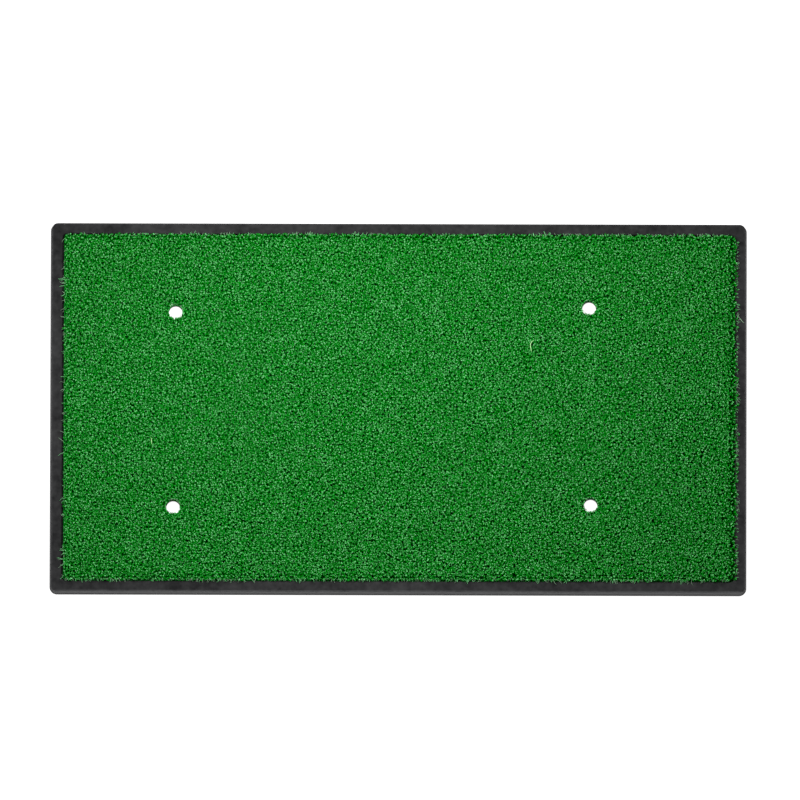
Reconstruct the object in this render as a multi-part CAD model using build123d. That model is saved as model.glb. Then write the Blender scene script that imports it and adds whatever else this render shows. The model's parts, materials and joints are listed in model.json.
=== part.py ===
"""Golf hitting mat: a turf pad glued into a moulded rubber tray, with four tee holes punched through.

Millimetres. +X runs along the mat, +Y towards its back edge, +Z up. The origin is on the ground,
at the middle of the tray's foot.
"""

from build123d import *
import math
import os

# ---- rubber tray ----
mat_length = 635.0  # along X, at the foot, before its edge is rounded
mat_width = 340.1  # along Y, at the foot, before its edge is rounded
rim_height = 20.0  # ground to the top of the rim
floor_thickness = 8.0  # ground to the floor of the tray
rim_width = 9.6  # flat top of the rim, from its outer edge to the turf recess
wall_draft = 4.5  # degrees that the outer wall leans in
foot_corner_radius = 7.0  # plan radius of the four outer corners, at the foot
recess_corner_radius = 4.0  # plan radius of the four corners of the turf recess
rim_outer_rounding = 1.2
rim_inner_rounding = 0.8
foot_rounding = 1.6

# ---- grip pattern under the tray ----
groove_width = 3.0
groove_depth = 1.0
groove_pitch = 27.0  # middle of one groove to the middle of the next
groove_margin = 14.0  # plain border left between the pattern and the outer wall
groove_clear_of_recess = 3.0  # plain ring left round each flange recess

# ---- tee holes ----
tee_hole_diameter = 12.5
flange_recess_diameter = 40.0  # seat for the flange of a rubber tee, under the tray
flange_recess_depth = 3.0
# The holes are punched by hand, so the pattern is a little uneven. X and Y of each centre.
tee_hole_centres = {
    "back_left": (-203.2, 87.7),
    "back_right": (173.6, 92.2),
    "front_left": (-205.0, -90.8),
    "front_right": (175.3, -88.5),
}

# ---- turf pad, from the tray's floor up ----
adhesive_thickness = 0.5
adhesive_inset = 3.0  # the glue stops this far inside the pad's edge
latex_thickness = 1.5
woven_thickness = 0.8
pile_height = 15.2
pile_edge_rounding = 2.0
pad_clearance = 0.8  # pad to recess wall, on each side, before the shift
pad_shift = 0.5  # the pad lies this much nearer the right-hand wall

# ---- sizes that follow ----
wall_lean = rim_height * math.tan(math.radians(wall_draft))
recess_length = mat_length - 2 * (wall_lean + rim_width)
recess_width = mat_width - 2 * (wall_lean + rim_width)
pad_length = recess_length - 2 * pad_clearance
pad_width = recess_width - 2 * pad_clearance
pad_corner_radius = recess_corner_radius - pad_clearance
adhesive_bottom = floor_thickness
latex_bottom = adhesive_bottom + adhesive_thickness
woven_bottom = latex_bottom + latex_thickness
pile_bottom = woven_bottom + woven_thickness
pile_top = pile_bottom + pile_height


def punches(diameter, bottom, top):
    """One upright cylinder at each tee hole, from bottom to top."""
    shape = Cylinder(diameter / 2, top - bottom, align=(Align.CENTER, Align.CENTER, Align.MIN))
    return [Pos(x, y, bottom) * shape for x, y in tee_hole_centres.values()]


def slab(length, width, corner_radius, bottom, top):
    """A flat plate with round corners in plan, centred on the tray."""
    outline = Pos(0, 0, bottom) * RectangleRounded(length, width, corner_radius)
    return extrude(outline, amount=top - bottom)


def level_edges(solid, height):
    """The edges of the solid that lie at one height."""
    return [
        edge
        for edge in solid.edges()
        if abs(edge.bounding_box().min.Z - height) < 1e-4
        and abs(edge.bounding_box().max.Z - height) < 1e-4
    ]


def groove_places(span):
    """Evenly pitched groove middles that fit in a span, centred on zero."""
    count = int(span // groove_pitch) + 1
    return [(i - (count - 1) / 2) * groove_pitch for i in range(count)]


def grip_grooves():
    """Crossing shallow grooves in the underside, kept clear of the foot's edge and the recesses."""
    along_x = mat_length - 2 * groove_margin
    along_y = mat_width - 2 * groove_margin
    outline = Sketch()
    for y in groove_places(along_y - groove_width):
        outline += Pos(0, y) * SlotOverall(along_x, groove_width)
    for x in groove_places(along_x - groove_width):
        outline += Pos(x, 0) * SlotOverall(along_y, groove_width, rotation=90)
    keep_out = flange_recess_diameter / 2 + groove_clear_of_recess
    for x, y in tee_hole_centres.values():
        outline -= Pos(x, y) * Circle(keep_out)
    return extrude(outline, amount=groove_depth)


def make_rubber_base():
    """The tray: a drafted, round-cornered block with the turf recess, tee holes and grip pattern."""
    foot = RectangleRounded(mat_length, mat_width, foot_corner_radius)
    block = extrude(foot, amount=rim_height, taper=wall_draft)
    block = fillet(level_edges(block, rim_height), rim_outer_rounding)
    block = fillet(level_edges(block, 0), foot_rounding)
    recess = slab(recess_length, recess_width, recess_corner_radius, floor_thickness, rim_height)
    tray = block - recess
    half_length = recess_length / 2 + rim_inner_rounding
    half_width = recess_width / 2 + rim_inner_rounding
    mouth = [
        edge
        for edge in level_edges(tray, rim_height)
        if edge.bounding_box().max.X < half_length
        and edge.bounding_box().min.X > -half_length
        and edge.bounding_box().max.Y < half_width
        and edge.bounding_box().min.Y > -half_width
    ]
    tray = fillet(mouth, rim_inner_rounding)
    tray -= punches(tee_hole_diameter, 0, floor_thickness)
    tray -= punches(flange_recess_diameter, 0, flange_recess_depth)
    tray -= grip_grooves()
    return tray


def make_layer(bottom, top, inset=0.0):
    """One flat layer of the turf pad, with the tee holes through it."""
    length = pad_length - 2 * inset
    width = pad_width - 2 * inset
    plate = Pos(pad_shift, 0, 0) * slab(length, width, pad_corner_radius, bottom, top)
    return plate - punches(tee_hole_diameter, bottom, top)


def make_pile():
    """The envelope of the yarn tips: a slab with a softly rounded top edge and the tee holes."""
    plate = Pos(pad_shift, 0, 0) * slab(pad_length, pad_width, pad_corner_radius, pile_bottom, pile_top)
    plate = fillet(level_edges(plate, pile_top), pile_edge_rounding)
    return plate - punches(tee_hole_diameter, pile_bottom, pile_top)


def main():
    nodes = {
        "rubber_base": make_rubber_base(),
        "adhesive_film": make_layer(adhesive_bottom, latex_bottom, adhesive_inset),
        "latex_backing": make_layer(latex_bottom, woven_bottom),
        "woven_backing": make_layer(woven_bottom, pile_bottom),
        "turf_pile": make_pile(),
    }
    os.makedirs("parts", exist_ok=True)
    for name, shape in nodes.items():
        export_step(shape, f"parts/{name}.step")


main()
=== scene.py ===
"""Golf hitting mat: the finished looks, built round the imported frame."""

import json
import math
import random
from collections import namedtuple

import bmesh
import bpy
from bpy.props import FloatProperty, FloatVectorProperty, IntProperty, PointerProperty
from mathutils import Matrix, Vector, noise


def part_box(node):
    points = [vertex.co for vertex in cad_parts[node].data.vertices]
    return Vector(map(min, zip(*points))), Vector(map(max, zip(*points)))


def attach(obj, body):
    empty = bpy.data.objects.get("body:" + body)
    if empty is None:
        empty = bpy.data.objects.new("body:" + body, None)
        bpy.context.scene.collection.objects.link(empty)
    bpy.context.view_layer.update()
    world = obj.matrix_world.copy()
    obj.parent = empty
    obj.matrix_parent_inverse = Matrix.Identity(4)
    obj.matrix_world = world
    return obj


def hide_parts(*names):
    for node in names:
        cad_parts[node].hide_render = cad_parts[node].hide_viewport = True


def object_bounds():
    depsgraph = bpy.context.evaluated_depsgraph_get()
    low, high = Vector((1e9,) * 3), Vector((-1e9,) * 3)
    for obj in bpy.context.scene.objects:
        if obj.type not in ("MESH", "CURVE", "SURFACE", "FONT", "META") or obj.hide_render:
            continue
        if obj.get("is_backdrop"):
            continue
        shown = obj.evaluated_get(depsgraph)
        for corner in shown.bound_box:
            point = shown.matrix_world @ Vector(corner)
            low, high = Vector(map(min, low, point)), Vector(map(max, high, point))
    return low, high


bl_info = {
    "name": "Golf hitting mat",
    "version": (1, 0, 0),
    "blender": (4, 5, 0),
    "location": "3D View > Sidebar > Mat",
    "description": "Finishes the rubber tray and grows the curly turf of a golf hitting mat",
    "category": "Object",
}

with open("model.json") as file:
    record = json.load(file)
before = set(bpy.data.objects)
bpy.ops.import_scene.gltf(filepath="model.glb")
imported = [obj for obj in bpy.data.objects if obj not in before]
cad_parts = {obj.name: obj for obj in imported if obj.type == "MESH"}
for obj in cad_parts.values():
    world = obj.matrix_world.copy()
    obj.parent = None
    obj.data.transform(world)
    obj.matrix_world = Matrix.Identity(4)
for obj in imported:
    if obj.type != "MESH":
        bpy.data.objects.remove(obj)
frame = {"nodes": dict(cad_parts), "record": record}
CAD_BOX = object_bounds()

MM = 0.001
UP = Vector((0, 0, 1))

# ---- what the frame says ----
TRAY_LOW, TRAY_HIGH = (Vector(corner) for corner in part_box("rubber_base"))
PILE_LOW, PILE_HIGH = (Vector(corner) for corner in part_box("turf_pile"))
PILE_HEIGHT = PILE_HIGH.z - PILE_LOW.z
RIM_TOP = TRAY_HIGH.z
HOLES = [mount for mount in frame["record"]["mounts"] if mount["kind"] == "bore"]
HOLE_RADIUS = HOLES[0]["dims"]["r_mm"] * MM
HOLE_CENTRES = [Vector(mount["pos_m"][:2]) for mount in HOLES]
OUTWARD = (Vector((1, 0, 0)), Vector((-1, 0, 0)), Vector((0, 1, 0)), Vector((0, -1, 0)))
PAD_EDGES = (PILE_HIGH.x, -PILE_LOW.x, PILE_HIGH.y, -PILE_LOW.y)  # right, left, back, front
WALL_GAPS = (0.3 * MM, 1.3 * MM, 0.8 * MM, 0.8 * MM)  # from the pad's edges to the tray's walls
RECESS_CORNER = 4.0 * MM

# ---- the two kinds of yarn end. Tall ones show as bright curls, and fill ones close the gaps below.
# curl: for each station from root to tip, its height as a share of the yarn's, its reach from the
# station before in millimetres, and its shares of the yarn's turn and width.
# width, twist, spread: share of the yarn's width, most twist in radians, and roots' spread in gauges.
# paler, scatter: how much paler than the tuft it is and how much that varies, in shares of the range.
# The tall ends' paler greens are painted highlight on the top curls; the fill ends' deeper greens are
# painted shade low in the pile.
YarnKind = namedtuple("YarnKind", "curl width twist spread paler scatter")
TALL = YarnKind(
    curl=(
        (0.0, 0.0, 0.0, 0.7),
        (0.6, 0.5, 0.3, 1.0),
        (0.87, 0.8, 0.9, 1.0),
        (1.0, 1.0, 1.0, 0.95),
        (0.95, 0.9, 1.0, 0.55),
    ),
    width=0.85, twist=0.6, spread=0.4, paler=0.23, scatter=0.17,
)
FILL = YarnKind(
    curl=((0.0, 0.0, 0.0, 0.9), (0.85, 1.0, 0.5, 1.1), (1.0, 1.3, 1.2, 1.0), (0.95, 1.1, 1.0, 0.6)),
    width=1.35, twist=0.9, spread=0.55, paler=-0.25, scatter=0.1,
)
SHORTEST_TALL = 0.93  # shortest of the tall yarn ends, as a share of the longest
TONE_STEP = 0.06  # from one tone of tuft to the next, as a share of the range of shades

# ---- how tufts are set and trimmed ----
PAD_MARGIN = 1.1 * MM  # left without tufts along the pad's edges
ROW_JITTER = 0.25  # how far a tuft may be off its mark, in gauges
HOLE_MARGIN = 0.4 * MM  # left without tufts round a tee hole
HOLE_RING = 2.5 * MM  # tufts this near a tee hole lean over it
TRIMMED_EDGE = 9 * MM  # tufts this near the pad's edge are trimmed
TRIMMED_RING = 7 * MM  # and so are tufts this near a tee hole
SWELL_SIZE = 9 * MM  # width of the low swells in the pile's height
RAGS_PER_MM = 0.9  # how fine the raggedness of a trimmed edge is

# ---- single fibres ----
FRAY_PATCH = 25 * MM  # length of the more and less frayed stretches of an edge
FRAY_STEPS = 4
# Loose clippings: X and Y where one starts, its heading, its length, and how much it bends.
CLIPPINGS = ((0.1212, 0.0513, 1.85, 11.5 * MM, -1.75), (-0.2245, -0.0345, 1.6, 6.0 * MM, 0.3))
CLIPPING_BOW = 0.8 * MM
STRAY_START = (0.3090, 0.0852, RIM_TOP + 0.4 * MM)  # the one long fibre over the right-hand rim

# ---- stage ----
FLOOR_REACH = 12.0
SOFT_BOX_SIZE = (0.7, 0.35)
SOFT_BOX_PLACE = (-0.06, 0.12, 0.78)
SENSOR_WIDTH = 36.0
VIEW_DEPTH = 50.0


# ---------------------------------------------------------------- materials
class Flow:
    """A value on its way through a material. Ordinary arithmetic on it adds Math nodes."""

    def __init__(self, finish, socket):
        self.finish = finish
        self.socket = socket

    def math(self, operation, *others):
        values = dict(enumerate((self, *others)))
        return self.finish.node("ShaderNodeMath", {"operation": operation}, values)

    def _behind(self, operation, other):
        return self.finish.node("ShaderNodeMath", {"operation": operation}, {0: other, 1: self})

    def __add__(self, other):
        return self.math("ADD", other)

    def __radd__(self, other):
        return self._behind("ADD", other)

    def __sub__(self, other):
        return self.math("SUBTRACT", other)

    def __rsub__(self, other):
        return self._behind("SUBTRACT", other)

    def __mul__(self, other):
        return self.math("MULTIPLY", other)

    def __rmul__(self, other):
        return self._behind("MULTIPLY", other)

    def __truediv__(self, other):
        return self.math("DIVIDE", other)

    def limited(self):
        """The same value, held between 0 and 1."""
        return self.math("MAXIMUM", 0.0).math("MINIMUM", 1.0)


class Finish:
    """A material in the making: one Principled shader and the nodes that feed it."""

    def __init__(self, name, plain):
        self.material = bpy.data.materials.new(name)
        self.material.use_nodes = True
        self.tree = self.material.node_tree
        self.shader = self.tree.nodes["Principled BSDF"]
        for socket, value in plain.items():
            self.shader.inputs[socket].default_value = value
        if "Base Color" in plain:
            self.material.diffuse_color = plain["Base Color"]

    def node(self, kind, settings=None, inputs=None, output=0):
        """Adds a node, with its settings first and its inputs after, and gives one output."""
        node = self.tree.nodes.new(kind)
        for name, value in (settings or {}).items():
            setattr(node, name, value)
        for key, value in (inputs or {}).items():
            if isinstance(value, Flow):
                self.tree.links.new(value.socket, node.inputs[key])
            else:
                node.inputs[key].default_value = value
        return Flow(self, node.outputs[output])

    def place(self):
        """The point on the piece, in metres from its origin."""
        return self.node("ShaderNodeTexCoord", output="Object")

    def axis(self, place, name):
        """One coordinate of a point: X, Y or Z."""
        return self.node("ShaderNodeSeparateXYZ", None, {0: place}, output=name)

    def speckle(self, place, size, detail=2.0, roughness=0.5):
        """Cloudy noise whose features are about this many metres across."""
        return self.node(
            "ShaderNodeTexNoise",
            inputs={"Vector": place, "Scale": 1.0 / size, "Detail": detail, "Roughness": roughness},
        )

    def blend(self, share, first, second):
        """A colour part of the way from the first to the second."""
        return self.node(
            "ShaderNodeMix", {"data_type": "RGBA"}, {0: share, 6: first, 7: second}, output=2
        )

    def feed(self, socket, flow):
        self.tree.links.new(flow.socket, self.shader.inputs[socket])

    def relief(self, height, depth, strength=1.0):
        """Bumps as high as depth, in metres, where height is 1."""
        inputs = {"Height": height, "Distance": depth, "Strength": strength}
        self.feed("Normal", self.node("ShaderNodeBump", None, inputs))


def opaque(colour):
    return (colour[0], colour[1], colour[2], 1.0)


def between(first, second, share):
    """A colour this share of the way from the first to the second."""
    return tuple(a + (b - a) * share for a, b in zip(first, second))


def moulded_rubber(settings):
    """Dark matte rubber: fine mould grain, faint clouds, and pale streaks dragged along the walls,
    which are dust and also painted reflection, most of all on the front wall. The lowest part of
    the walls stays dark: painted shade at the foot."""
    wall_inset = 1.4 * MM  # the walls begin this far in from the foot's edge
    wall_blend = 1.6 * MM
    foot_shade_height = 3.5 * MM  # the pale dust and painted reflection start this high up the wall; below it the foot stays dark, painted shade
    foot_blend = 9.0 * MM
    rubber = Finish("moulded_rubber", {"Specular IOR Level": 0.12})
    place = rubber.place()
    ends = rubber.axis(place, "X").math("ABSOLUTE") - TRAY_HIGH.x
    front = 0.0 - rubber.axis(place, "Y") - TRAY_HIGH.y
    back = rubber.axis(place, "Y") - TRAY_HIGH.y
    height = rubber.axis(place, "Z")
    grain = rubber.speckle(place, settings.grain_size, 3.0, 0.6)
    clouds = rubber.speckle(place, 45 * MM, 3.0)
    mottle = rubber.speckle(place, 6 * MM, 3.0, 0.6)
    dragged = rubber.node("ShaderNodeMapping", None, {0: place, 3: (0.3, 0.3, 1.4)})
    dragged_streaks = rubber.speckle(dragged, 5 * MM, 4.0, 0.65)
    # Painted reflection: the front wall gets the full pale streaks, the other walls 0.4 of them.
    front_wall = (1.0 + (front + wall_inset) / wall_blend).limited()
    other_walls = (1.0 + (ends.math("MAXIMUM", back) + wall_inset) / wall_blend).limited()
    wall = front_wall.math("MAXIMUM", 0.4 * other_walls)
    # Painted shade: no pale streaks on the lowest part of the wall, so the foot stays dark.
    above_foot = ((height - foot_shade_height) / foot_blend).limited()
    dust_and_reflection = (wall * above_foot * (1.7 * dragged_streaks)).limited()
    body = rubber.blend(
        (1.6 * (clouds + mottle) - 1.1).limited(),
        opaque(between(settings.rubber_colour, (0, 0, 0), 0.3)),
        opaque(between(settings.rubber_colour, (1, 1, 1), 0.022)),
    )
    # The pale mix is dust, and painted reflection as well, strongest on the front wall.
    body_dust_and_reflection = rubber.blend(dust_and_reflection * 0.6, body, opaque(settings.dust_and_reflection_colour))
    rubber.feed("Base Color", body_dust_and_reflection)
    rubber.feed("Roughness", (settings.roughness - 0.08 + 0.16 * clouds + 0.06 * grain).limited())
    rubber.relief(grain + 0.6 * dragged_streaks, 0.12 * MM, 0.7)
    return rubber.material


def yarn_shades(settings):
    """The yarn's range of greens, from the deepest to the palest, each a plain colour. Partly random
    tone, partly painted light: the deep greens are painted shade low in the pile and the pale ones
    painted highlight on the tall tips.
    """
    pale_curve = 1.6  # keeps most shades near the usual green
    made = []
    for i in range(settings.shade_count):
        share = 2 * i / (settings.shade_count - 1)
        colour = between(settings.deep_green, settings.mid_green, min(share, 1))
        colour = between(colour, settings.pale_green, max(share - 1, 0) ** pale_curve)
        plain = {
            "Base Color": opaque(colour),
            "Roughness": 0.42,
            "Specular IOR Level": 0.05 * share,
        }
        made.append(Finish(f"turf_yarn_{i + 1}", plain).material)
    return made


def backing_cloth():
    """The green woven cloth that the yarn is tufted through."""
    cloth = Finish("backing_cloth", {"Roughness": 0.85, "Specular IOR Level": 0.2})
    place = cloth.place()
    waves = {"wave_type": "BANDS", "wave_profile": "SIN"}
    tape = {"Vector": place, "Scale": 210.0, "Distortion": 0.6, "Detail": 1.0}
    warp = cloth.node("ShaderNodeTexWave", {**waves, "bands_direction": "X"}, tape)
    weft = cloth.node("ShaderNodeTexWave", {**waves, "bands_direction": "Y"}, tape)
    weave = warp.math("MAXIMUM", weft)
    cloth.feed("Base Color", cloth.blend(weave, (0.001, 0.20, 0.010, 1), (0.002, 0.40, 0.03, 1)))
    cloth.relief(weave, 0.4 * MM)
    return cloth.material


def latex_coat():
    """Matte charcoal latex, a little uneven where it was rolled on."""
    latex = Finish("latex_coat", {"Specular IOR Level": 0.3})
    place = latex.place()
    rolled = latex.speckle(place, 5 * MM, 3.0)
    latex.feed("Base Color", latex.blend(rolled, (0.018, 0.018, 0.019, 1), (0.045, 0.045, 0.047, 1)))
    latex.feed("Roughness", 0.6 + 0.25 * rolled)
    latex.relief(rolled, 0.3 * MM)
    return latex.material


def cured_adhesive():
    """Amber contact adhesive, streaked as it was spread."""
    glue = Finish("cured_adhesive", {"Specular IOR Level": 0.5})
    place = glue.place()
    streaks = glue.node("ShaderNodeMapping", None, {0: place, 3: (1.0, 6.0, 1.0)})
    spread = glue.speckle(streaks, 20 * MM, 3.0)
    glue.feed("Base Color", glue.blend(spread, (0.26, 0.17, 0.06, 1), (0.48, 0.36, 0.17, 1)))
    glue.feed("Roughness", 0.3 + 0.3 * spread)
    glue.relief(spread, 0.15 * MM)
    return glue.material


def pale_floor(settings):
    """A white light-table floor."""
    floor = Finish("pale_floor", {"Roughness": 0.9, "Specular IOR Level": 0.0})
    floor.shader.inputs["Base Color"].default_value = opaque((settings.floor_white,) * 3)
    floor.shader.inputs["Emission Color"].default_value = (1, 1, 1, 1)
    floor.shader.inputs["Emission Strength"].default_value = settings.floor_glow
    return floor.material


def dress(node, material):
    """Gives a frame node its finish, on every slot."""
    piece = frame["nodes"][node]
    for slot in piece.material_slots:
        slot.material = material
    if not piece.material_slots:
        piece.data.materials.append(material)


# ---------------------------------------------------------------- turf
def yarn_end(bm, rng, settings, root, kind, shade):
    """One yarn end: a strip stood up from its root that curls over near the tip, and is painted a
    deeper green further down, as painted shade where the pile shades it."""
    steps = len(kind.curl) - 1
    strip = bmesh.ops.create_grid(bm, x_segments=1, y_segments=steps, size=0.5)["verts"]
    lowest, highest = SHORTEST_TALL, 1.0
    if kind is FILL:
        lowest, highest = settings.shortest_yarn, settings.fill_height
    tallness = PILE_HEIGHT * rng.uniform(lowest, highest)
    heading = rng.uniform(0, math.tau)
    turn = rng.choice((-1, 1)) * rng.uniform(0.4, 1.1)
    reach = rng.uniform(0.75, 1.0) * MM
    width = settings.yarn_width * rng.uniform(0.85, 1.15) * kind.width
    twist = rng.uniform(-1, 1) * kind.twist
    centre = root.copy()
    stations = []
    for rise, run, bend, breadth in kind.curl:
        heading += turn * bend
        forward = Vector((math.cos(heading), math.sin(heading), 0))
        centre = centre + forward * run * reach
        centre.z = rise * tallness
        side = (forward.cross(UP) * math.cos(twist) + UP * math.sin(twist)) * width * breadth
        stations.append((centre, side))
    drift = (stations[-3][0] + stations[-2][0] + stations[-1][0]) / 3 - root
    drift.z = 0
    for vert in strip:
        station = round((vert.co.y + 0.5) * steps)
        centre, side = stations[station]
        vert.co = centre + side * vert.co.x - drift * kind.curl[station][0]
    # Painted shade: faces lower down take deeper greens, where the pile around shades them.
    for face in {face for vert in strip for face in vert.link_faces}:
        sunk = 1 - min(face.calc_center_median().z / tallness, 1)
        face.material_index = max(shade - round(sunk * settings.root_painted_shade), 0)
        face.smooth = True


def make_tuft(rng, settings, tone):
    """One tuft: a few yarn ends from one needle hole. Tone is the middle of its shades."""
    bm = bmesh.new()
    for i in range(settings.yarns_per_tuft):
        angle = rng.uniform(0, math.tau)
        kind = TALL if i < settings.tall_yarns else FILL
        spread = settings.tuft_gauge * kind.spread * math.sqrt(rng.random())
        root = Vector((math.cos(angle) * spread, math.sin(angle) * spread, 0))
        # Tall ends go paler, painted highlight; fill ends go deeper, painted shade.
        middle = tone + settings.shade_count * kind.paler
        shade = round(rng.gauss(middle, settings.shade_count * kind.scatter))
        yarn_end(bm, rng, settings, root, kind, min(max(shade, 0), settings.shade_count - 1))
    mesh = bpy.data.meshes.new("tuft")
    bm.to_mesh(mesh)
    bm.free()
    return mesh


def held_in(point, limits, corner):
    """The point itself, or the nearest one inside a rounded rectangle with these four edges."""
    right, left, back, front = limits
    middle = Vector((right - left, back - front)) / 2
    core = Vector((right + left, back + front)) / 2 - Vector((corner, corner))
    x, y = point.x - middle.x, point.y - middle.y
    past = Vector((max(abs(x) - core.x, 0), max(abs(y) - core.y, 0)))
    if past.length > corner:
        past *= corner / past.length
        x = math.copysign(min(abs(x), core.x) + past.x, x)
        y = math.copysign(min(abs(y), core.y) + past.y, y)
    return x + middle.x, y + middle.y


def trim_yarn(vert, settings):
    """Keeps a yarn inside the tray up to the rim, lets it spill a little above it, and keeps the
    tee holes open but for a slight overhang."""
    point = vert.co
    ragged = noise.noise(point * RAGS_PER_MM / MM)
    over_rim = point.z > RIM_TOP + 0.3 * MM
    limits = []
    for side, (edge, gap) in enumerate(zip(PAD_EDGES, WALL_GAPS)):
        spill = settings.rim_spill[side] + settings.ragged_reach * ragged
        if not over_rim:
            spill = min(spill, gap - 0.15 * MM)
        limits.append(edge + spill)
    point.x, point.y = held_in(point, limits, RECESS_CORNER)
    for hole in HOLE_CENTRES:
        away = point.xy - hole
        clear = HOLE_RADIUS + 0.1 * MM - settings.hole_overhang * max(ragged, 0)
        if away.length < clear:
            away = away.normalized() * clear
            point.x, point.y = hole.x + away.x, hole.y + away.y


def nearest_edge(point):
    """How far inside the pad's nearest edge a point is, and which edge that is."""
    insides = [edge - out.dot(point) for out, edge in zip(OUTWARD, PAD_EDGES)]
    side = insides.index(min(insides))
    return insides[side], side


def plant(point, rng, settings, tufts, field, border):
    """Sets one tuft at a place, leaning as the pile flows there. It goes with the field, or with
    the border, which is trimmed later."""
    hole = min(HOLE_CENTRES, key=lambda centre: (point.xy - centre).length)
    to_hole = (point.xy - hole).length - HOLE_RADIUS
    if to_hole < HOLE_MARGIN:
        return
    flow = noise.noise_vector(point / settings.flow_size)
    lean = Vector((flow.x, flow.y, 0)) * settings.flow_lean
    lean += Vector((rng.uniform(-1, 1), rng.uniform(-1, 1), 0)) * settings.stray_lean
    inside, side = nearest_edge(point)
    near_edge = max(0.0, 1.0 - inside / settings.edge_band)
    if to_hole < HOLE_RING:
        lean += (hole - point.xy).normalized().to_3d() * settings.hole_lean
    lean += OUTWARD[side] * near_edge * settings.edge_lean[side] * rng.uniform(0.2, 1.0)
    swell = noise.noise(point / SWELL_SIZE + UP)
    tallness = 1.0 + 0.03 * swell - 0.1 * near_edge * rng.random()
    cloud = noise.noise(point / settings.cloud_size + 2 * UP)
    tone = min(max(round(1 + 1.6 * cloud), 0), 2)
    place = (
        Matrix.Translation((point.x, point.y, PILE_LOW.z))
        @ Matrix.Rotation(lean.length, 4, UP.cross(lean))
        @ Matrix.Rotation(rng.uniform(0, math.tau), 4, "Z")
        @ Matrix.Diagonal((1, 1, tallness, 1))
    )
    planted = rng.choice(tufts[tone]).copy()
    planted.transform(place)
    trimmed = inside < TRIMMED_EDGE or to_hole < TRIMMED_RING
    target = border if trimmed else field
    target.from_mesh(planted)
    bpy.data.meshes.remove(planted)


def tuft_places(rng, settings):
    """Tufts in staggered rows over the whole pad, each a little off its mark."""
    gauge = settings.tuft_gauge
    span_x = PILE_HIGH.x - PILE_LOW.x - 2 * PAD_MARGIN
    span_y = PILE_HIGH.y - PILE_LOW.y - 2 * PAD_MARGIN
    columns, rows = round(span_x / gauge), round(span_y / gauge)
    for column in range(columns):
        for row in range(rows):
            stagger = 0.25 if row % 2 else 0.75
            off_x = rng.uniform(-ROW_JITTER, ROW_JITTER)
            off_y = rng.uniform(-ROW_JITTER, ROW_JITTER)
            x = PILE_LOW.x + PAD_MARGIN + (column + stagger + off_x) * span_x / columns
            y = PILE_LOW.y + PAD_MARGIN + (row + 0.5 + off_y) * span_y / rows
            yield Vector((x, y, 0))


def grow_pile(settings):
    """The whole pile, in strips across the mat so that no piece is too heavy."""
    rng = random.Random(settings.seed)
    shades = yarn_shades(settings)
    middle = (settings.shade_count - 1) / 2
    step = settings.shade_count * TONE_STEP
    tufts = [
        [make_tuft(rng, settings, middle + offset * step) for _ in range(settings.tuft_kinds)]
        for offset in (-1, 0, 1)
    ]
    strip_width = (PILE_HIGH.x - PILE_LOW.x) / settings.strip_count
    fields = [(bmesh.new(), bmesh.new()) for _ in range(settings.strip_count)]
    for point in tuft_places(rng, settings):
        strip = min(int((point.x - PILE_LOW.x) / strip_width), settings.strip_count - 1)
        plant(point, rng, settings, tufts, *fields[max(strip, 0)])
    strips = []
    for i, (field, border) in enumerate(fields):
        for vert in border.verts:
            trim_yarn(vert, settings)
        edge_mesh = bpy.data.meshes.new("edge_tufts")
        border.to_mesh(edge_mesh)
        field.from_mesh(edge_mesh)
        bpy.data.meshes.remove(edge_mesh)
        border.free()
        strips.append(finish_piece(f"turf_strip_{i + 1}", field, shades))
    for kind in tufts:
        for mesh in kind:
            bpy.data.meshes.remove(mesh)
    return strips


def finish_piece(name, bm, materials):
    """Turns a bmesh into a piece of the mat, at the origin, with its materials."""
    mesh = bpy.data.meshes.new(name)
    for material in materials:
        mesh.materials.append(material)
    bm.to_mesh(mesh)
    bm.free()
    piece = bpy.data.objects.new(name, mesh)
    bpy.context.scene.collection.objects.link(piece)
    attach(piece, "root")
    return piece


def thin_fibre(bm, place, heading, length, arc, lift, landing, breadth=0.6 * MM, steps=8, shade=0):
    """A single fibre that bends ever more along its length. Lift is how high it bows in between."""
    strip = bmesh.ops.create_grid(bm, x_segments=1, y_segments=steps, size=0.5)["verts"]
    centre = place.copy()
    stations = []
    for i in range(steps + 1):
        share = i / steps
        angle = heading + arc * share * share
        forward = Vector((math.cos(angle), math.sin(angle), 0))
        centre.z = place.z + (landing - place.z) * share + lift * math.sin(math.pi * share)
        side = forward.cross(UP) * breadth * (1 - 0.5 * abs(2 * share - 1) ** 3)
        stations.append((centre.copy(), side))
        centre += forward * length / steps
    for vert in strip:
        middle, side = stations[round((vert.co.y + 0.5) * steps)]
        vert.co = middle + side * vert.co.x
    for face in {face for vert in strip for face in vert.link_faces}:
        face.material_index = shade
        face.smooth = True


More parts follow.
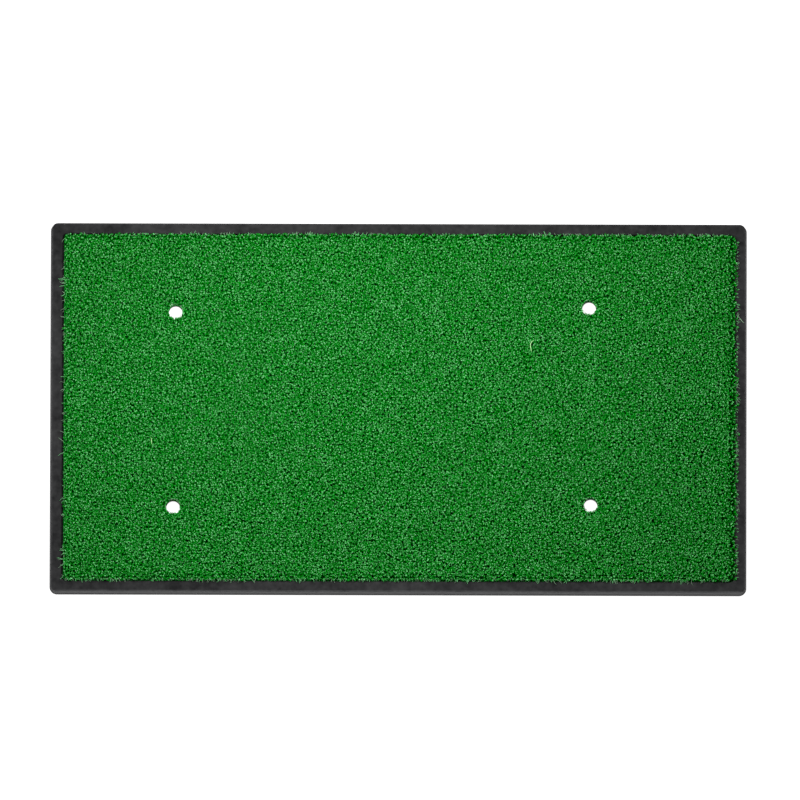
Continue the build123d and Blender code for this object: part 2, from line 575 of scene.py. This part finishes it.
def fray_edge(bm, rng, settings, side):
    """Fans of thin fibres along one edge of the pad, which come to rest on the rim."""
    out = OUTWARD[side]
    across = Vector((abs(out.y), abs(out.x), 0))
    half = PAD_EDGES[2] if side < 2 else PAD_EDGES[0]
    along = -half + RECESS_CORNER
    while along < half - RECESS_CORNER:
        patch = 0.5 + noise.noise(Vector((along / FRAY_PATCH, 3.1 * side, 0)))
        reach = settings.fray_reach[side] * min(max(patch, 0.15), 1.0)
        for _ in range(rng.randint(1, settings.fray_most)):
            inside = rng.uniform(0.4, 1.6) * MM
            edge = PAD_EDGES[side] + 0.6 * max(settings.rim_spill[side], 0)
            start = out * (edge - inside) + across * (along + rng.gauss(0, 0.9) * MM)
            start.z = PILE_HIGH.z - rng.uniform(0.8, 2.4) * MM
            heading = math.atan2(out.y, out.x) + rng.gauss(0, 0.75)
            length = inside + reach * rng.uniform(0.35, 1.0)
            landing = RIM_TOP + rng.uniform(0.3, 1.2) * MM
            arc = rng.uniform(-2.2, 2.2)
            breadth = rng.uniform(0.24, 0.42) * MM
            shade = rng.randrange(2)
            thin_fibre(bm, start, heading, length, arc, 0.3 * MM, landing, breadth, FRAY_STEPS, shade)
        along += settings.fray_spacing[side] * rng.uniform(0.4, 1.6)


def fray_hole(bm, rng, settings, hole):
    """A few thin fibres that hang a little over the edge of one tee hole."""
    for _ in range(settings.fray_hole):
        angle = rng.uniform(0, math.tau)
        outside = rng.uniform(0.5, 1.0) * MM
        out = Vector((math.cos(angle), math.sin(angle), 0))
        start = hole.to_3d() + out * (HOLE_RADIUS + outside)
        start.z = PILE_HIGH.z - rng.uniform(0.6, 1.6) * MM
        heading = angle + math.pi + rng.uniform(-0.7, 0.7)
        length = outside + rng.uniform(0.2, 1.0) * MM
        breadth = rng.uniform(0.35, 0.55) * MM
        arc = rng.uniform(-0.8, 0.8)
        landing = start.z - 0.8 * MM
        shade = rng.randrange(2)
        thin_fibre(bm, start, heading, length, arc, 0.2 * MM, landing, breadth, FRAY_STEPS, shade)


# ---------------------------------------------------------------- settings
class TraySettings(bpy.types.PropertyGroup):
    """Looks of the rubber tray."""

    rubber_colour: FloatVectorProperty(
        name="Rubber", description="Colour of clean rubber", subtype="COLOR", size=3, min=0, max=1,
        default=(0.0072, 0.0072, 0.0080),
    )
    # Colour of the pale wall streaks: dust, and painted reflection, strongest on the front wall.
    dust_and_reflection_colour: FloatVectorProperty(
        name="Scuffs", description="Colour of dust and wear on the outer wall", subtype="COLOR", size=3,
        min=0, max=1, default=(0.125, 0.125, 0.13),
    )
    grain_size: FloatProperty(
        name="Grain", description="Size of the mould grain", unit="LENGTH", default=0.9 * MM
    )
    roughness: FloatProperty(
        name="Roughness", description="How matte the rubber is", subtype="FACTOR", min=0, max=1,
        default=0.72,
    )


class TurfSettings(bpy.types.PropertyGroup):
    """Sizes and colours of the turf."""

    # Deep greens serve as painted shade low in the pile, pale greens as painted highlight on the tips.
    deep_green: FloatVectorProperty(
        name="Deep green", description="Darkest yarn", subtype="COLOR", size=3, min=0, max=1,
        default=(0.0, 0.175, 0.0),
    )
    mid_green: FloatVectorProperty(
        name="Green", description="Usual yarn", subtype="COLOR", size=3, min=0, max=1,
        default=(0.001, 0.258, 0.011),
    )
    pale_green: FloatVectorProperty(
        name="Pale green", description="Palest yarn", subtype="COLOR", size=3, min=0, max=1,
        default=(0.157, 0.552, 0.201),
    )
    dry_green: FloatVectorProperty(
        name="Dry fibre", description="Loose clippings on the turf", subtype="COLOR", size=3,
        min=0, max=1, default=(0.30, 0.62, 0.22),
    )
    shade_count: IntProperty(name="Shades", description="Number of yarn colours", min=2, default=8)
    # Painted shade: how much deeper the yarn's green is painted near the root.
    root_painted_shade: FloatProperty(
        name="Root deepening", description="How many shades deeper a yarn is at its root than at its tip",
        min=0, default=6.0,
    )
    tuft_gauge: FloatProperty(
        name="Gauge", description="Distance between tufts", unit="LENGTH", default=1.95 * MM
    )
    yarns_per_tuft: IntProperty(name="Yarns", description="Yarn ends in one tuft", min=1, default=5)
    tall_yarns: IntProperty(name="Tall yarns", description="Yarn ends that stand tall", min=0, default=2)
    yarn_width: FloatProperty(
        name="Yarn width", description="Width of one yarn end", unit="LENGTH", default=0.7 * MM
    )
    shortest_yarn: FloatProperty(
        name="Shortest yarn", description="Shortest yarn end, as a share of the longest",
        subtype="FACTOR", min=0, max=1, default=0.78,
    )
    fill_height: FloatProperty(
        name="Fill height", description="Longest of the short yarn ends, as a share of the longest",
        subtype="FACTOR", min=0, max=1, default=0.93,
    )
    tuft_kinds: IntProperty(name="Kinds", description="Different tufts of each tone", min=1, default=16)
    flow_size: FloatProperty(
        name="Flow size", description="Width of the patches that lean one way", unit="LENGTH",
        default=35 * MM,
    )
    flow_lean: FloatProperty(
        name="Flow lean", description="How far those patches lean", subtype="ANGLE", default=0.05
    )
    cloud_size: FloatProperty(
        name="Cloud size", description="Width of paler and darker patches", unit="LENGTH", default=14 * MM
    )
    edge_band: FloatProperty(
        name="Edge band", description="How far in the edge tufts lean out", unit="LENGTH", default=5 * MM
    )
    edge_lean: FloatVectorProperty(
        name="Edge lean", description="Most that edge tufts lean out: right, left, back and front",
        size=4, unit="ROTATION", default=(0.55, 0.05, 0.34, 0.30),
    )
    rim_spill: FloatVectorProperty(
        name="Spill", description="Usual reach past the pad's edge: right, left, back and front",
        size=4, unit="LENGTH", default=(5.2 * MM, -0.2 * MM, 0.7 * MM, 0.2 * MM),
    )
    ragged_reach: FloatProperty(
        name="Raggedness", description="How uneven the pile's edge is", unit="LENGTH", default=3.5 * MM
    )
    fray_colour: FloatVectorProperty(
        name="Frayed fibre", description="Thin fibres over the rim", subtype="COLOR", size=3,
        min=0, max=1, default=(0.20, 0.33, 0.20),
    )
    fray_spacing: FloatVectorProperty(
        name="Fray spacing", description="Distance between frayed places: right, left, back and front",
        size=4, unit="LENGTH", default=(3.6 * MM, 8.0 * MM, 4.0 * MM, 4.0 * MM),
    )
    fray_reach: FloatVectorProperty(
        name="Fray reach",
        description="Furthest that fibres reach past the pad: right, left, back and front",
        size=4, unit="LENGTH", default=(3.6 * MM, 7.0 * MM, 4.2 * MM, 4.5 * MM),
    )
    fray_most: IntProperty(
        name="Fray count", description="Most fibres in one frayed place", min=1, default=4
    )
    fray_hole: IntProperty(
        name="Hole fray", description="Fibres over each tee hole's edge", min=0, default=22
    )
    stray_lean: FloatProperty(
        name="Stray lean", description="How far single tufts lean at random", subtype="ANGLE",
        default=0.05,
    )
    hole_overhang: FloatProperty(
        name="Overhang", description="Furthest that yarn hangs into a tee hole", unit="LENGTH",
        default=0.8 * MM,
    )
    hole_lean: FloatProperty(
        name="Hole lean", description="How far tufts lean over a tee hole", subtype="ANGLE", default=0.06
    )
    strip_count: IntProperty(
        name="Strips", description="Pieces that the pile is made in", min=1, default=10
    )
    seed: IntProperty(name="Seed", description="Which random pile is grown", default=7)


class StageSettings(bpy.types.PropertyGroup):
    """Camera, floor and lights."""

    camera_distance: FloatProperty(
        name="Distance", description="Camera to mat", unit="LENGTH", default=25.0
    )
    camera_tilt: FloatProperty(
        name="Tilt", description="Camera's lean from straight down", subtype="ANGLE",
        default=math.radians(6.0),
    )
    camera_roll: FloatProperty(
        name="Roll", description="Camera's turn about its own axis", subtype="ANGLE",
        default=math.radians(0.15),
    )
    picture_span: FloatProperty(
        name="Span", description="Width of ground in the picture", unit="LENGTH", default=0.7293
    )
    aim_x: FloatProperty(name="Aim X", description="Picture centre, along", unit="LENGTH", default=1.45 * MM)
    aim_y: FloatProperty(name="Aim Y", description="Picture centre, back", unit="LENGTH", default=9.2 * MM)
    floor_white: FloatProperty(
        name="Floor", description="How pale the floor is", subtype="FACTOR", min=0, max=1, default=0.3
    )
    floor_glow: FloatProperty(name="Glow", description="Light that the floor gives", min=0, default=1.0)
    sky_light: FloatProperty(name="Sky", description="Strength of the light all round", min=0, default=0.3)
    key_light: FloatProperty(name="Key", description="Power of the soft box, in watts", min=0, default=9.6)


# ---------------------------------------------------------------- operators
class MAT_OT_tray(bpy.types.Operator):
    """Give the moulded rubber tray its finish"""

    bl_idname = "mat.tray"
    bl_label = "Rubber tray"

    def execute(self, context):
        dress("rubber_base", moulded_rubber(context.scene.mat_tray))
        return {"FINISHED"}


class MAT_OT_backing(bpy.types.Operator):
    """Finish the cloth, latex and adhesive under the turf"""

    bl_idname = "mat.backing"
    bl_label = "Turf backing"

    def execute(self, context):
        dress("woven_backing", backing_cloth())
        dress("latex_backing", latex_coat())
        dress("adhesive_film", cured_adhesive())
        return {"FINISHED"}


class MAT_OT_pile(bpy.types.Operator):
    """Grow the curly pile, tuft by tuft"""

    bl_idname = "mat.pile"
    bl_label = "Turf pile"

    def execute(self, context):
        strips = grow_pile(context.scene.mat_turf)
        for strip in strips:
            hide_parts("turf_pile")
        return {"FINISHED"}


class MAT_OT_fray(bpy.types.Operator):
    """Fray the pile's edges with thin fibres that lie over the rim and the tee holes"""

    bl_idname = "mat.fray"
    bl_label = "Frayed edge"

    def execute(self, context):
        settings = context.scene.mat_turf
        dull = Finish("frayed_fibre", {"Base Color": opaque(settings.fray_colour), "Roughness": 0.6})
        pale = Finish("frayed_yarn", {"Base Color": opaque(settings.pale_green), "Roughness": 0.5})
        rng = random.Random(settings.seed + 1)
        bm = bmesh.new()
        for side in range(len(OUTWARD)):
            fray_edge(bm, rng, settings, side)
        for hole in HOLE_CENTRES:
            fray_hole(bm, rng, settings, hole)
        stray = Vector(STRAY_START)
        thin_fibre(bm, stray, -0.95, 8.6 * MM, 0.3, 0.4 * MM, stray.z, 0.45 * MM)
        piece = finish_piece("frayed_edge", bm, [dull.material, pale.material])
        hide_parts("turf_pile")
        return {"FINISHED"}


class MAT_OT_clippings(bpy.types.Operator):
    """Lay the few loose fibres on the turf"""

    bl_idname = "mat.clippings"
    bl_label = "Loose clippings"

    def execute(self, context):
        settings = context.scene.mat_turf
        dry = Finish("dry_fibre", {"Base Color": opaque(settings.dry_green), "Roughness": 0.5})
        bm = bmesh.new()
        top = PILE_HIGH.z
        for x, y, heading, length, arc in CLIPPINGS:
            thin_fibre(bm, Vector((x, y, top)), heading, length, arc, CLIPPING_BOW, top)
        piece = finish_piece("loose_clippings", bm, [dry.material])
        return {"FINISHED"}


class MAT_OT_stage(bpy.types.Operator):
    """Set the pale floor, the soft light and the camera"""

    bl_idname = "mat.stage"
    bl_label = "Stage"

    def execute(self, context):
        settings = context.scene.mat_stage
        self.lay_floor(context, settings)
        self.hang_lights(context, settings)
        self.aim_camera(context, settings)
        return {"FINISHED"}

    def lay_floor(self, context, settings):
        bm = bmesh.new()
        bmesh.ops.create_grid(bm, x_segments=1, y_segments=1, size=FLOOR_REACH)
        mesh = bpy.data.meshes.new("floor")
        bm.to_mesh(mesh)
        bm.free()
        mesh.transform(Matrix.Translation((0, 0, TRAY_LOW.z - 0.1 * MM)))
        mesh.materials.append(pale_floor(settings))
        floor = bpy.data.objects.new("floor", mesh)
        context.scene.collection.objects.link(floor)
        floor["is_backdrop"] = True

    def hang_lights(self, context, settings):
        world = bpy.data.worlds.new("soft_room")
        world.use_nodes = True
        background = world.node_tree.nodes["Background"]
        background.inputs["Color"].default_value = (1, 1, 1, 1)
        background.inputs["Strength"].default_value = settings.sky_light
        context.scene.world = world
        box = bpy.data.lights.new("soft_box", "AREA")
        box.shape = "RECTANGLE"
        box.size, box.size_y = SOFT_BOX_SIZE
        box.energy = settings.key_light
        lamp = bpy.data.objects.new("soft_box", box)
        lamp.location = SOFT_BOX_PLACE
        lamp.rotation_euler = lamp.location.to_track_quat("Z", "Y").to_euler()
        lamp.visible_camera = False
        context.scene.collection.objects.link(lamp)

    def aim_camera(self, context, settings):
        lens = bpy.data.cameras.new("camera")
        lens.sensor_width = SENSOR_WIDTH
        lens.lens = lens.sensor_width * settings.camera_distance / settings.picture_span
        lens.clip_end = VIEW_DEPTH
        camera = bpy.data.objects.new("camera", lens)
        camera.rotation_euler = (settings.camera_tilt, 0, settings.camera_roll)
        back_off = camera.rotation_euler.to_matrix() @ Vector((0, 0, settings.camera_distance))
        camera.location = Vector((settings.aim_x, settings.aim_y, 0)) + back_off
        context.scene.collection.objects.link(camera)
        context.scene.camera = camera
        context.scene.view_settings.view_transform = "Standard"


class MAT_PT_build(bpy.types.Panel):
    """Builds the mat, piece by piece"""

    bl_label = "Golf hitting mat"
    bl_space_type = "VIEW_3D"
    bl_region_type = "UI"
    bl_category = "Mat"

    def draw(self, context):
        for step in STEPS:
            self.layout.operator(step.bl_idname)
        for group in (context.scene.mat_tray, context.scene.mat_turf, context.scene.mat_stage):
            box = self.layout.box()
            for name in group.bl_rna.properties.keys():
                if name not in ("rna_type", "name"):
                    box.prop(group, name)


STEPS = (MAT_OT_tray, MAT_OT_backing, MAT_OT_pile, MAT_OT_fray, MAT_OT_clippings, MAT_OT_stage)
CLASSES = (TraySettings, TurfSettings, StageSettings, *STEPS, MAT_PT_build)


def register():
    for cls in CLASSES:
        bpy.utils.register_class(cls)
    bpy.types.Scene.mat_tray = PointerProperty(type=TraySettings)
    bpy.types.Scene.mat_turf = PointerProperty(type=TurfSettings)
    bpy.types.Scene.mat_stage = PointerProperty(type=StageSettings)


def unregister():
    del bpy.types.Scene.mat_stage
    del bpy.types.Scene.mat_turf
    del bpy.types.Scene.mat_tray
    for cls in reversed(CLASSES):
        bpy.utils.unregister_class(cls)


def main():
    register()
    bpy.ops.mat.tray()
    bpy.ops.mat.backing()
    bpy.ops.mat.pile()
    bpy.ops.mat.fray()
    bpy.ops.mat.clippings()
    bpy.ops.mat.stage()
    boxes = {"cad": CAD_BOX, "visual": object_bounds()}
    {name: [list(corner) for corner in box] for name, box in boxes.items()}


if __name__ == "__main__":
    main()
